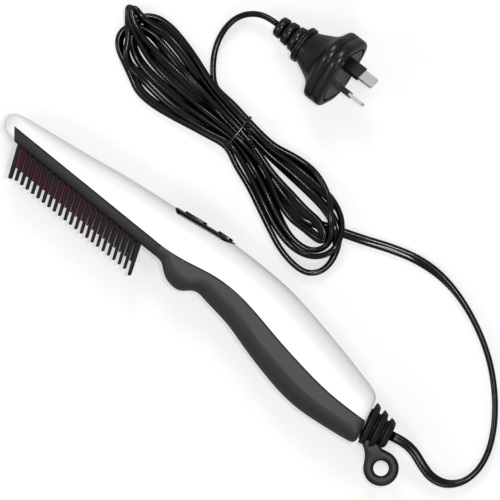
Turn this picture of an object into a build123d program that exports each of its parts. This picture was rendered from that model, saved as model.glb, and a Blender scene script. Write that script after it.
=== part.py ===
from build123d import *
import math
import os

# Corded hot comb lying on its side, in millimetres.
# Working frame: x = 0 at the nose, y = 0 on the straight parting line above the
# comb, z = 0 on the middle plane between the two flanks.  Teeth point to -y and
# the spine faces +y.  At the end everything is seated on the floor, z up, with
# the origin under the middle of the device.

# ---------------------------------------------------------------- casing
wall = 2.2                     # casing wall
seam_height = 0.9              # shadow groove under the parting line
seam_depth = 0.6
flank_half = 13.45             # flat flanks that the device lies on, from the middle plane
nose_length = 12.0             # rounded front of the casing
end_round = 2.6                # rounding of the rear face
end_round_length = 4.0
swivel_angle = 13.5            # axis of the boot against the comb's line
swivel_x = 244.3               # where that axis pierces the rear face
swivel_y = -5.5
tilt_start = 222.0             # sections turn square to the swivel axis from here
spine_lift = 0.5               # middle of the section there

spine_line = [(0, 2.0), (1.0, 3.7), (3, 5.1), (6, 6.2), (12, 7.3), (40, 11.3), (70, 16.2),
              (98, 19.6), (134, 24.0), (150, 24.5), (165, 24.2), (185, 21.9), (205, 18.2),
              (220, 15.0), (232, 12.2), (238, 10.6), (246, 8.0)]
belly_line = [(0, -0.4), (1.0, -2.9), (3, -4.9), (6, -6.1), (12, -6.7), (106, -6.7), (110, -7.5),
              (113, -9.8), (117, -12.3), (121.5, -13.3), (125, -13.1), (128, -11.6), (131, -9.0),
              (134, -7.8), (145, -9.0), (156, -10.6), (170, -14.3), (185, -18.0), (200, -20.8),
              (211, -21.6), (225, -20.7), (240, -18.5), (256, -16.2)]
half_width_line = [(0, 3.0), (1, 5.2), (3, 8.0), (6, 10.4), (12, 12.6), (25, 13.5), (75, 13.5),
                   (112, 12.3), (130, 12.3), (172, 13.5), (228, 13.5), (256, 12.6)]
spine_radius_line = [(0, 2.0), (12, 6.0), (40, 8.0), (100, 9.0), (140, 10.5), (200, 11.0), (256, 9.0)]
belly_radius_line = [(0, 2.0), (12, 4.2), (100, 4.2), (113, 7.0), (124, 8.5), (150, 9.0),
                     (200, 10.5), (256, 8.0)]
stations = [12, 20, 32, 46, 60, 75, 90, 100, 106, 110, 113, 117, 121.5, 125, 128, 131, 134,
            139, 147, 157, 170, 185, 200, 211, 222, 231]
parting_line = [(100, -0.3), (112, 0.3), (122, 2.0), (133, 4.3), (146, 5.4), (160, 4.2), (180, 0.5),
                (200, -2.7), (220, -4.7), (236, -4.6), (262, -3.6)]
parting_front = (6.2, -0.4)    # where the rail starts under the nose
parting_nose = (11.2, -6.9)    # where the nose ends on the belly

# ---------------------------------------------------------------- comb
tooth_count = 23
tooth_pitch = 3.63
tooth_rake = 21.0              # teeth lean back from the nose
tooth_root_y = -5.6
tooth_tip_y = -22.2
first_tip_x = 20.4
tooth_root_width = 2.4
tooth_tip_width = 1.7
tooth_thickness = 2.2          # across the comb
end_tooth_extra = 1.1          # first and last teeth are longer and thicker
end_tooth_width = 1.25         # factor on their width
row_gap = 10.4                 # clear space between the two rows
guard_end_x = 104.6            # rail ends here, bottom casing starts
heater_slot_gap = 0.7          # clearance round the heater's teeth in the slot

# ---------------------------------------------------------------- heater
heater_tooth_width = 1.35
heater_tooth_thickness = 3.2
heater_tip_y = -17.0
heater_base_width = 9.0
heater_base_height = 5.4
heater_base_length = 79.4
heater_start_x = 14.6
heater_seat_gap = 0.05         # bedding of the heater on the rail
element_count = 2
element_length = 26.0
element_width = 8.0
element_height = 2.1
element_start_x = 30.5
element_space = 1.5
strip_height = 0.25
strip_width = 6.0
strip_tail = 0.6               # strip past the last element, where its lead is welded
film_height = 0.15
film_overlap = 0.5
clamp_height = 0.6
clamp_leg = 4.2
clamp_length = 40.0
clamp_start_x = 37.5
fuse_radius = 1.9
fuse_length = 10.0
fuse_pin_length = 1.2
fuse_x = 89.6
fuse_side = 3.2
sensor_radius = 0.95
sensor_length = 3.4
sensor_x = 25.6

# ---------------------------------------------------------------- wires
lead_radius = 0.9
lead_side = 4.2                # leads pass the screw posts on either side
solder_gap = 0.03              # between a lead's end and what it is soldered to
sensor_lead_radius = 0.45
sensor_side = 6.4

# ---------------------------------------------------------------- control panel
panel_x = 115.8                # middle of the panel along the spine
panel_tilt = 7.2               # slope of the spine there
panel_length = 36.0
panel_front_half = 9.6          # half width of its blunt front end
panel_front_radius = 3.0
panel_rear_radius = 8.2
panel_proud = 0.5
panel_seat = 1.2               # depth of its pocket
panel_gap = 0.12               # clearance round the panel
button_gap = 0.2
button_proud = 0.9             # above the panel
button_travel = 0.6
power_button_at = -6.4         # along the panel from its middle
power_button_length = 13.0
temperature_button_at = 11.5
temperature_button_length = 9.0
button_width = 7.0
button_flange = 0.5
button_flange_height = 1.0
button_flange_depth = 3.0      # top of the flange below the spine's surface
lens_at = 3.5
lens_radius = 1.1

# ---------------------------------------------------------------- electronics
board_depth = 9.8              # top face of the board below the spine's surface
board_length = 46.0
board_width = 17.0
board_height = 1.6
board_at = 9.0                 # middle of the board along the panel
switch_size = 6.0
switch_height = 3.6
plunger_radius = 1.7
plunger_gap = 0.06
plunger_stand = 1.0            # above the switch at rest
plunger_inside = 1.4
led_radius = 1.5
led_height = 4.2
post_radius = 2.0
post_pilot_radius = 0.8
post_side = 6.3                # posts stand off the middle, one on each side
board_screw_head_radius = 1.8
board_screw_head_height = 1.2
board_screw_length = 5.0
post_inset = 2.6               # posts stand this far in from the board's ends

# ---------------------------------------------------------------- casing screws
screw_places = [99.6, 160.0, 214.0]
screw_core_radius = 1.25
screw_head_radius = 2.6
screw_head_height = 1.7
screw_length = 11.0
screw_clearance = 0.25
screw_seat = 4.0               # bearing face of the head below the parting line
boss_wall = 1.5

# ---------------------------------------------------------------- swivel
neck_radius = 3.9
swivel_fit = 0.08              # running clearance on the radius
flange_radius = 5.3
flange_length = 2.0
hub_radius = 3.4
hub_length = 5.2
hub_insert = 6.0               # length moulded into the boot
ring_contact_radius = 4.2
ring_contact_length = 2.4
pin_radius = 1.2
pin_stand = 1.6
socket_wall = 1.4
socket_floor = 1.4
contact_height = 0.3
contact_width = 2.6
contact_gap = 0.08
boot_gap = 0.4                 # between the handle's end and the boot
collar_radius = 8.7
collar_length = 0.9
rib_radii = [12.4, 10.7, 8.6]
rib_end_radii = [10.6, 8.8, 7.0]
groove_radii = [7.7, 6.4]
rib_pitch = 5.1
rib_length = 3.3
boot_length = 15.4
mouth_radius = 3.9
loop_along = 18.0              # middle of the hanging loop, along and off the axis
loop_off = 17.6
loop_radius = 9.3
loop_hole_radius = 4.0
loop_thickness = 4.2
loop_root = (3.6, 12.4)        # where the loop grows out of the boot, along the axis

# ---------------------------------------------------------------- cord and plug
cord_width = 5.2               # flat twin cord
cord_floor = 2.7               # height of its middle line on the floor
cord_lead = 7.0                # straight run out of the boot
tail_lead = 7.0                # straight run into the plug
bend_share = 0.45              # share of the shorter run that a bend takes up
cord_route = [
    (136.2, 0.6, 12.2), (144.2, -2.4, 9.6), (152.5, -4.2, 6.7), (161.2, -1.9, 4.3),
    (167.6, 4.7, 3.0), (170.0, 13.8, cord_floor), (168.8, 23.4, cord_floor), (165.0, 32.8, cord_floor),
    (158.6, 43.0, cord_floor), (149.2, 53.8, cord_floor), (137.0, 64.0, cord_floor),
    (122.4, 72.2, cord_floor), (106.6, 78.2, cord_floor), (90.6, 81.0, cord_floor),
    (75.2, 79.8, cord_floor), (60.6, 75.2, cord_floor), (47.2, 69.6, cord_floor), (34.4, 65.0, cord_floor),
]
tail_route = [
    (-65.0, 83.0, cord_floor), (-71.0, 89.2, cord_floor), (-76.0, 96.8, cord_floor),
    (-78.8, 105.2, 3.0), (-79.1, 113.3, 4.1), (-76.9, 120.0, 5.4), (-72.1, 125.2, 7.0),
]
hank_outline = [
    (-126.0, 89.0), (-120.0, 67.2), (-101.5, 57.0), (-90.5, 52.5), (-71.5, 55.0), (-55.5, 58.5),
    (-39.0, 60.0), (-10.5, 48.5), (11.5, 39.7), (26.5, 36.3), (36.5, 40.3), (41.0, 48.5), (39.5, 57.5),
    (35.0, 67.5), (27.5, 75.0), (16.5, 79.5), (6.5, 82.0), (-8.5, 82.5), (-25.5, 79.0), (-40.5, 82.0),
    (-57.5, 84.0), (-71.5, 88.0), (-93.5, 93.5), (-104.5, 95.1), (-115.5, 94.0),
]
hank_height = 9.6
tie_x = -39.5
tie_width = 3.0
tie_height = 0.7
tie_twist_radius = 0.9
tie_twist = [(-38.0, 79.0), (-33.0, 73.0), (-20.0, 66.5)]
plug_x = -58.6                 # rear end of the plug's strain relief
plug_y = 128.2
plug_turn = 1.0
plug_dip = 14.0                # the plug leans on its rim, relief end low
plug_roll = 30.0
plug_width = 39.0
plug_height = 33.0
plug_corner = 12.0
rim_depth = 9.0
shoulder_depth = 16.0
shoulder_waist_at = 0.55        # share of the shoulder where it is already slim
waist_width = 24.6
waist_height = 22.0
waist_corner = 10.0
neck_half = 8.5
neck_corner = 8.2
collar_depth = 3.2
collar_half = 10.2
relief_start = 7.6
relief_end = 6.3
relief_length = 16.0
relief_grooves = 2
groove_width = 1.6
groove_depth = 0.9
blade_spacing = 13.7
blade_slant = 30.0
blade_width = 6.35
blade_thickness = 1.6
blade_length = 17.0
blade_root = 6.0
sleeve_length = 8.5
sleeve_wall = 0.7


def smooth_through(points, x):
    """Value at x of a smooth curve through the points that never overshoots them."""
    xs = [p[0] for p in points]
    ys = [p[1] for p in points]
    slopes = [(ys[i + 1] - ys[i]) / (xs[i + 1] - xs[i]) for i in range(len(xs) - 1)]
    tangents = [slopes[0]]
    for before, after in zip(slopes, slopes[1:]):
        if before * after <= 0:
            tangents.append(0.0)
        else:
            tangents.append(2 * before * after / (before + after))
    tangents.append(slopes[-1])
    x = min(max(x, xs[0]), xs[-1])
    i = max(k for k in range(len(xs) - 1) if xs[k] <= x)
    width = xs[i + 1] - xs[i]
    t = (x - xs[i]) / width
    start = (1 + 2 * t) * (1 - t) ** 2 * ys[i] + t * (1 - t) ** 2 * width * tangents[i]
    end = t * t * (3 - 2 * t) * ys[i + 1] + t * t * (t - 1) * width * tangents[i + 1]
    return start + end


def reach(line, x, y, tilt):
    """Distance from (x, y), along a section leaning back by tilt degrees, to an outline."""
    lean = math.radians(tilt)
    distance = 0.0
    for _ in range(25):
        at = x - distance * math.sin(lean)
        distance = (smooth_through(line, at) - y) / math.cos(lean)
    return distance


swivel_direction = Vector(math.cos(math.radians(swivel_angle)), math.sin(math.radians(swivel_angle)), 0)


def section(x, y, tilt, inset):
    """Rounded section of the casing through (x, y), shrunk by inset all round."""
    top = reach(spine_line, x, y, tilt) - inset
    bottom = reach(belly_line, x, y, tilt) + inset
    half_width = smooth_through(half_width_line, x) - inset
    spine_radius = smooth_through(spine_radius_line, x) - inset
    belly_radius = smooth_through(belly_radius_line, x) - inset
    height = top - bottom
    spare = 0.96 * min(height / (spine_radius + belly_radius), half_width / max(spine_radius, belly_radius))
    spine_radius *= min(1.0, spare)
    belly_radius *= min(1.0, spare)
    outline = Pos((top + bottom) / 2, 0) * Rectangle(height, 2 * half_width)
    outline = fillet(outline.vertices().group_by(Axis.X)[-1], spine_radius)
    outline = fillet(outline.vertices().group_by(Axis.X)[0], belly_radius)
    lean = math.radians(tilt)
    plane = Plane(
        origin=(x, y, 0),
        x_dir=(-math.sin(lean), math.cos(lean), 0),
        z_dir=(math.cos(lean), math.sin(lean), 0),
    )
    return plane * outline


def casing(inset):
    """Solid form of the whole casing, shrunk by inset (or grown, if it is negative)."""
    faces = []
    for x in [0.0, 0.8, 2.4, 5.0, 8.0]:
        place = x + inset * (1 - x / nose_length)
        faces.append(section(place, 0.9 - 0.1 * x, 0, inset))
    for x in stations:
        share = max(0.0, (x - tilt_start) / (swivel_x - end_round_length - tilt_start))
        middle = (1 - share) * spine_lift * x / tilt_start + share * swivel_y
        faces.append(section(x, middle, share * swivel_angle, inset))
    for back, drop in [(1.0, 0.0), (0.5, 0.13), (0.18, 0.45), (0.0, 1.0)]:
        place = Vector(swivel_x, swivel_y, 0) - swivel_direction * (back * end_round_length + inset)
        faces.append(section(place.X, place.Y, swivel_angle, inset + drop * end_round))
    return loft(faces)


# ---------------------------------------------------------------- local planes
deck_lean = math.radians(panel_tilt)
deck = Plane(
    origin=(panel_x, smooth_through(spine_line, panel_x), 0),
    x_dir=(math.cos(deck_lean), math.sin(deck_lean), 0),
    z_dir=(-math.sin(deck_lean), math.cos(deck_lean), 0),
)
axle_lean = math.radians(swivel_angle)
axle = Plane(
    origin=(swivel_x, swivel_y, 0),
    x_dir=(-math.sin(axle_lean), math.cos(axle_lean), 0),
    z_dir=(math.cos(axle_lean), math.sin(axle_lean), 0),
)
flank = Plane(origin=(swivel_x, swivel_y, 0), x_dir=swivel_direction, z_dir=(0, 0, 1))


def group(shapes):
    """Separate solids kept together in one node."""
    return Compound([solid for shape in shapes for solid in shape.solids()])


def block(x_range, y_range, z_range):
    """Box between the given bounds."""
    bounds = [x_range, y_range, z_range]
    middle = [(low + high) / 2 for low, high in bounds]
    size = [high - low for low, high in bounds]
    return Pos(*middle) * Box(*size)


def rod(plane, x, y, low, high, radius):
    """Cylinder along the plane's normal between two heights."""
    return plane * Pos(x, y, (low + high) / 2) * Cylinder(radius, high - low)


def prism(plane, outline, low, high):
    """Outline raised along the plane's normal between two heights."""
    return plane * Pos(0, 0, low) * extrude(outline, amount=high - low)


def upright(x, low, high, radius):
    """Cylinder along y on the middle plane."""
    return Pos(x, (low + high) / 2, 0) * Rot(90, 0, 0) * Cylinder(radius, high - low)


def belly_side(drop=0.0):
    """Space on the belly side of the parting line, lowered by drop."""
    reach_down = 80.0
    curve = Spline([(x, y) for x, y in parting_line])
    front = Line(parting_front, parting_line[0])
    rear = Line(parting_line[-1], (parting_line[-1][0], -reach_down))
    under = Line((parting_line[-1][0], -reach_down), (parting_nose[0], -reach_down))
    nose = Polyline((parting_nose[0], -reach_down), parting_nose, parting_front)
    outline = make_face([front, curve, rear, under] + nose.edges())
    return Pos(0, -drop, -40) * extrude(outline, amount=80)


def parting_height(x):
    """Height of the parting line at x."""
    return smooth_through([parting_front] + parting_line, x)


# ---------------------------------------------------------------- comb teeth
rake = math.tan(math.radians(tooth_rake))


def raked_x(number, y):
    """Place along the comb of a tooth's middle line at height y; half numbers are gaps."""
    return first_tip_x + number * tooth_pitch - (y - tooth_tip_y) * rake


def tooth(number, root_y, tip_y, root_width, tip_width, low, high):
    """Raked tooth with a round tip, between two heights across the comb."""
    root = raked_x(number, root_y)
    tip = raked_x(number, tip_y)
    shoulder = tip_y + tip_width / 2
    outline = make_face([
        Line((root + root_width / 2, root_y), (root - root_width / 2, root_y)),
        Line((root - root_width / 2, root_y), (tip - tip_width / 2, shoulder)),
        ThreePointArc((tip - tip_width / 2, shoulder), (tip, tip_y), (tip + tip_width / 2, shoulder)),
        Line((tip + tip_width / 2, shoulder), (root + root_width / 2, root_y)),
    ])
    return Pos(0, 0, low) * extrude(outline, amount=high - low)


def guard_teeth():
    """Both rows; the end teeth are longer and wider."""
    teeth = []
    for number in range(tooth_count):
        is_end = number in (0, tooth_count - 1)
        factor = end_tooth_width if is_end else 1.0
        tip_y = tooth_tip_y - (end_tooth_extra if is_end else 0.0)
        inside = row_gap / 2
        outside = inside + tooth_thickness * factor
        for low, high in [(inside, outside), (-outside, -inside)]:
            teeth.append(tooth(number, tooth_root_y, tip_y, tooth_root_width * factor,
                               tooth_tip_width * factor, low, high))
    return teeth


# ---------------------------------------------------------------- casing pieces
def screw_bearing(x):
    """Height of the face that a case screw's head bears on."""
    return parting_height(x) - screw_seat


def lower_boss(x):
    """Post in the belly casing round a case screw."""
    radius = screw_head_radius + screw_clearance + boss_wall
    return upright(x, -40, parting_height(x) + 5, radius) & casing(wall / 2) & belly_side()


def screw_way(x):
    """Recess for the head and clearance hole for the shank."""
    head = upright(x, -60, screw_bearing(x), screw_head_radius + screw_clearance)
    shank = upright(x, screw_bearing(x) - 1, parting_height(x) + 8, screw_core_radius + screw_clearance)
    return head + shank


def button_outline(length, grow):
    """Rounded outline of a button, grown all round."""
    return RectangleRounded(length + 2 * grow, button_width + 2 * grow, 2.4 + grow)


buttons = [(power_button_at, power_button_length), (temperature_button_at, temperature_button_length)]
posts = [
    (board_at - board_length / 2 + post_inset, post_side),
    (board_at + board_length / 2 - post_inset, -post_side),
]


def panel_outline(grow):
    """Outline of the panel, blunt in front and round behind, grown all round."""
    start = -panel_length / 2 + panel_front_radius
    off = panel_front_half - panel_front_radius
    corners = [Pos(start, side * off) * Circle(panel_front_radius + grow) for side in (-1, 1)]
    rear = Pos(panel_length / 2 - panel_rear_radius, 0) * Circle(panel_rear_radius + grow)
    return make_hull(corners[0].edges() + corners[1].edges() + rear.edges())


def spine_openings(grow_buttons):
    """Ways for the buttons and the light guide through panel and casing."""
    ways = [prism(deck, Pos(at, 0) * button_outline(length, grow_buttons), -7, 6) for at, length in buttons]
    ways.append(rod(deck, lens_at, 0, -7, 6, lens_radius))
    return ways


def make_top_shell(walls, below):
    shell = walls - below
    for x in screw_places:
        boss = upright(x, parting_height(x) - 5, 40, screw_core_radius + boss_wall)
        shell += (boss & casing(wall / 2)) - below
    for x in screw_places:
        shell -= upright(x, -20, screw_bearing(x) + screw_length + 1, screw_core_radius)
    for u, w in posts:
        shell += rod(deck, u, w, -board_depth, 4, post_radius) & casing(wall / 2)
        shell -= rod(deck, u, w, -board_depth - 1, -board_depth + board_screw_length, post_pilot_radius)
    pocket = prism(deck, panel_outline(panel_gap), -9, 6)
    shell -= pocket - casing(panel_seat)
    for way in spine_openings(button_gap):
        shell -= way
    return shell - rod(axle, 0, 0, -wall - 2, 2, neck_radius + swivel_fit)


def make_comb_guard(walls, below, groove):
    guard = (walls & below & block((0, guard_end_x), (-40, 40), (-40, 40))) - groove
    guard += lower_boss(screw_places[0]) & block((0, guard_end_x), (-40, 40), (-40, 40))
    guard += guard_teeth()
    guard -= screw_way(screw_places[0])
    slot_half = heater_tooth_thickness / 2 + heater_slot_gap
    slot_front = heater_start_x - heater_slot_gap
    slot_rear = heater_start_x + heater_base_length - heater_slot_gap
    return guard - block((slot_front, slot_rear), (-12, heater_floor), (-slot_half, slot_half))


def make_bottom_shell(walls, below, groove):
    shell = (walls & below & block((guard_end_x, 300), (-40, 40), (-40, 40))) - groove
    for x in screw_places[1:]:
        shell += lower_boss(x)
        shell -= screw_way(x)
    return shell - rod(axle, 0, 0, -wall - 2, 2, neck_radius + swivel_fit)


def make_case_screws():
    screws = []
    for x in screw_places:
        bearing = screw_bearing(x)
        shank = upright(x, bearing - 0.2, bearing + screw_length, screw_core_radius)
        head = upright(x, bearing - screw_head_height, bearing, screw_head_radius)
        cross = block((x - 1.5, x + 1.5), (bearing - 3, bearing - 0.9), (-0.35, 0.35))
        cross += block((x - 0.35, x + 0.35), (bearing - 3, bearing - 0.9), (-1.5, 1.5))
        screws.append(shank + head - cross)
    return group(screws)


# ---------------------------------------------------------------- heater
rail_floor = smooth_through(belly_line, heater_start_x + heater_base_length / 2) + wall
heater_floor = rail_floor + heater_seat_gap
heater_top = heater_floor + heater_base_height
element_top = heater_top + element_height
strip_top = element_top + strip_height
film_top = strip_top + film_height
film_start_x = element_start_x - film_overlap
elements_end = element_start_x + element_count * element_length + (element_count - 1) * element_space


def make_heater_comb():
    half = heater_base_width / 2
    along = (heater_start_x, heater_start_x + heater_base_length)
    comb = block(along, (heater_floor, heater_top), (-half, half))
    inner = heater_tooth_thickness / 2
    for number in range(tooth_count - 1):
        comb += tooth(number + 0.5, heater_floor + 1, heater_tip_y, heater_tooth_width,
                      heater_tooth_width, -inner, inner)
    return comb


def make_elements():
    plates = []
    for number in range(element_count):
        start = element_start_x + number * (element_length + element_space)
        plates.append(block((start, start + element_length), (heater_top, element_top),
                            (-element_width / 2, element_width / 2)))
    return group(plates)


def make_electrode_strip():
    half = strip_width / 2
    return block((element_start_x, elements_end + strip_tail), (element_top, strip_top), (-half, half))


def make_insulation_film():
    half = heater_base_width / 2 - 0.1
    return block((film_start_x, elements_end), (strip_top, film_top), (-half, half))


def make_heater_clamp():
    inner = heater_base_width / 2
    outer = inner + clamp_height
    along = (clamp_start_x, clamp_start_x + clamp_length)
    clamp = block(along, (film_top, film_top + clamp_height), (-outer, outer))
    for low, high in [(inner, outer), (-outer, -inner)]:
        clamp += block(along, (heater_top - clamp_leg, film_top), (low, high))
    return clamp


def along_x(x, y, z, length, radius):
    """Cylinder along x about its middle."""
    return Pos(x, y, z) * Rot(0, 90, 0) * Cylinder(radius, length)


def make_thermal_fuse():
    body = along_x(fuse_x, heater_top + fuse_radius, fuse_side, fuse_length, fuse_radius)
    pin = along_x(fuse_x + fuse_length / 2, heater_top + fuse_radius, fuse_side, 2 * fuse_pin_length, 0.5)
    return body + pin


def make_temperature_sensor():
    y = heater_top + sensor_radius
    bead = along_x(sensor_x, y, 0, sensor_length - 2 * sensor_radius, sensor_radius)
    for end in (-1, 1):
        bead += Pos(sensor_x + end * (sensor_length / 2 - sensor_radius), y, 0) * Sphere(sensor_radius)
    return bead


# ---------------------------------------------------------------- wires
def wire(points, radius, bend):
    """Round wire along straight runs joined by bends."""
    path = FilletPolyline(*points, radius=bend)
    return sweep(Plane(origin=path @ 0, z_dir=path % 0) * Circle(radius), path=path)


def on_deck(u, w, v):
    """Point given along, across and above the panel plane."""
    return deck.from_local_coords(Vector(u, w, v))


def on_axle(off, across, along):
    """Point given off, across and along the swivel axis."""
    return axle.from_local_coords(Vector(off, across, along))


def board_end(front, side, back_off=0.0):
    """Point on the front or rear edge of the board, or off it by back_off."""
    half = board_length / 2 + solder_gap + back_off
    along = board_at - half if front else board_at + half
    return on_deck(along, -side, -board_depth - board_height / 2)


def make_heater_leads():
    fuse_end_x = fuse_x + fuse_length / 2 + fuse_pin_length + solder_gap
    fuse_end = Vector(fuse_end_x, heater_top + fuse_radius, fuse_side)
    live = wire([
        fuse_end,
        fuse_end + Vector(1.3, 0, 0),
        fuse_end + Vector(3.0, 0.6, lead_side - fuse_side),
        board_end(True, lead_side, 3.0),
        board_end(True, lead_side),
    ], lead_radius, 0.9)
    strip_end = Vector(elements_end + strip_tail + solder_gap, strip_top, -strip_width / 2 + 1.0)
    back = wire([
        strip_end,
        strip_end + Vector(3.0, 0.8, -0.6),
        board_end(True, -lead_side, 4.0),
        board_end(True, -lead_side),
    ], lead_radius, 1.2)
    return group([live, back])


def make_sensor_leads():
    clamp_end = clamp_start_x + clamp_length
    leads = []
    for side in (-1, 1):
        start = Vector(sensor_x + sensor_length / 2 + solder_gap, heater_top + sensor_radius, side * 0.5)
        leads.append(wire([
            start,
            start + Vector(0.9, 0.2, side * 0.1),
            Vector(film_start_x - 1.2, film_top + 1.2, side * 0.9),
            Vector(clamp_end, film_top + clamp_height + 1.4, side * 1.6),
            board_end(True, side * (lead_side + 1.4), 9.0),
            board_end(True, side * sensor_side, 3.0),
            board_end(True, side * sensor_side),
        ], sensor_lead_radius, 0.8))
    return group(leads)


def make_mains_leads():
    leads = []
    for side, off, along in [(1, contact_reach, live_along), (-1, contact_reach + 1.6, neutral_along)]:
        start = on_axle(off + lead_radius, side * 0.35, along)
        leads.append(wire([
            start,
            start + Vector(-4.0, 2.0, side * 2.0),
            Vector(222, 4.0, side * lead_side),
            Vector(190, 9.5, side * lead_side),
            board_end(False, side * lead_side, 6.0),
            board_end(False, side * lead_side),
        ], lead_radius, 1.6))
    return group(leads)


# ---------------------------------------------------------------- panel, buttons and board
def make_control_panel():
    panel = prism(deck, panel_outline(0), -9, 6)
    panel = (panel & casing(-panel_proud)) - casing(panel_seat)
    for way in spine_openings(button_gap):
        panel -= way
    return panel


def make_button(at, length):
    cap = prism(deck, Pos(at, 0) * button_outline(length, 0), -button_flange_depth - button_flange_height, 6)
    cap = cap & casing(-panel_proud - button_proud)
    top_edges = cap.faces().sort_by(lambda face: (face.center() - deck.origin).dot(deck.z_dir))[-1].edges()
    cap = fillet(top_edges, 0.45)
    flange = prism(deck, Pos(at, 0) * button_outline(length, button_flange),
                   -button_flange_depth - button_flange_height, -button_flange_depth)
    stem = rod(deck, at, 0, plunger_top, -button_flange_depth - button_flange_height, plunger_radius - 0.3)
    return cap + flange + stem


switch_top = -board_depth + switch_height
plunger_top = switch_top + plunger_stand


def make_switch(at):
    half = switch_size / 2
    body = prism(deck, Pos(at, 0) * RectangleRounded(switch_size, switch_size, 0.4), -board_depth, switch_top)
    well = plunger_inside + button_travel + 0.2
    return body - rod(deck, at, 0, switch_top - well, switch_top + 1, plunger_radius + plunger_gap)


def make_plunger(at):
    return rod(deck, at, 0, switch_top - plunger_inside, plunger_top, plunger_radius)


def make_circuit_board():
    board = prism(deck, Pos(board_at, 0) * RectangleRounded(board_length, board_width, 1.5),
                  -board_depth - board_height, -board_depth)
    for u, w in posts:
        board -= rod(deck, u, w, -board_depth - board_height - 1, -board_depth + 1, post_pilot_radius + 0.2)
    return board


def make_board_screws():
    under = -board_depth - board_height
    screws = []
    for u, w in posts:
        shank = rod(deck, u, w, under - 0.1, -board_depth + board_screw_length - 0.6, post_pilot_radius)
        head = rod(deck, u, w, under - board_screw_head_height, under, board_screw_head_radius)
        screws.append(shank + head)
    return group(screws)


def make_led():
    straight = led_height - led_radius
    body = rod(deck, lens_at, 0, -board_depth, -board_depth + straight, led_radius)
    return body + deck * Pos(lens_at, 0, -board_depth + straight) * Sphere(led_radius)


def make_led_lens():
    lens = rod(deck, lens_at, 0, -board_depth + led_height + 0.1, 6, lens_radius)
    return lens & casing(-panel_proud - 0.15)


def under_board(u_range, w_range, height):
    """Block that hangs under the board."""
    under = -board_depth - board_height
    middle_u = (u_range[0] + u_range[1]) / 2
    middle_w = (w_range[0] + w_range[1]) / 2
    outline = Pos(middle_u, middle_w) * Rectangle(u_range[1] - u_range[0], w_range[1] - w_range[0])
    return prism(deck, outline, under - height, under)


def make_dropper_capacitor():
    rear = board_at + board_length / 2 - 5.6
    return under_board((rear - 13, rear), (-0.5, 7), 10.5)


def make_smoothing_capacitor():
    under = -board_depth - board_height
    return rod(deck, board_at, 4.6, under - 9, under, 3.1)


def make_triac():
    front = board_at - board_length / 2 + 8.5
    body = under_board((front, front + 4.4), (-5, 5), 10)
    tab = prism(deck, Pos(front + 0.6, 0) * Rectangle(1.2, 10), -board_depth - board_height - 15.5,
                -board_depth - board_height - 10)
    return body + tab


def make_control_chip():
    chip = under_board((board_at - 2.5, board_at + 2.5), (-6, -2), 1.5)
    for number in range(4):
        u = board_at - 1.9 + number * 1.27
        chip += under_board((u - 0.2, u + 0.2), (-7, -1), 0.5)
    return chip


# ---------------------------------------------------------------- swivel
flange_rear = -wall - 0.15 - flange_length
hub_rear = flange_rear - hub_length
pin_rear = hub_rear - pin_stand
live_along = pin_rear - contact_gap - contact_height / 2
socket_rear = pin_rear - contact_gap - contact_height - socket_floor
ring_contact_rear = hub_rear + 0.95
neutral_along = ring_contact_rear - 0.3 + contact_height / 2
socket_inner = flange_radius + swivel_fit
socket_outer = socket_inner + socket_wall
contact_reach = socket_outer + 2.0


def make_swivel_socket():
    socket = rod(axle, 0, 0, socket_rear, -wall, socket_outer)
    socket -= rod(axle, 0, 0, socket_rear + socket_floor, 0, socket_inner)
    slot = Pos(socket_outer, 0) * Rectangle(2 * socket_outer - 3.0, contact_width + 0.6)
    return socket - prism(axle, slot, socket_rear + socket_floor, ring_contact_rear + ring_contact_length)


def make_live_contact():
    strip = Pos((contact_reach - 2.0) / 2, 0) * Rectangle(contact_reach + 2.0, contact_width)
    return prism(axle, strip, live_along - contact_height / 2, live_along + contact_height / 2)


def make_neutral_contact():
    low = ring_contact_radius + contact_gap
    rear = ring_contact_rear - 0.3
    leaf = Pos(low + contact_height / 2, 0) * Rectangle(contact_height, contact_width)
    riser_top = contact_reach + 1.6
    riser = Pos((low + riser_top) / 2, 0) * Rectangle(riser_top - low, contact_width)
    contact = prism(axle, leaf, rear, rear + ring_contact_length)
    return contact + prism(axle, riser, rear, rear + contact_height)


def make_swivel_hub():
    hub = rod(axle, 0, 0, flange_rear, -wall - 0.15, flange_radius)
    hub += rod(axle, 0, 0, hub_rear, flange_rear, hub_radius)
    hub += rod(axle, 0, 0, flange_rear, boot_gap + hub_insert, neck_radius)
    return hub - rod(axle, 0, 0, hub_rear - 1, flange_rear, pin_radius)


def make_contact_pin():
    pin = rod(axle, 0, 0, pin_rear, flange_rear, pin_radius)
    return chamfer(pin.edges().sort_by(axle_axis)[0], 0.3)


def make_contact_ring():
    rear = ring_contact_rear
    ring = rod(axle, 0, 0, rear, rear + ring_contact_length, ring_contact_radius)
    return ring - rod(axle, 0, 0, rear - 1, rear + ring_contact_length + 1, hub_radius)


axle_axis = Axis((swivel_x, swivel_y, 0), swivel_direction)


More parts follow.
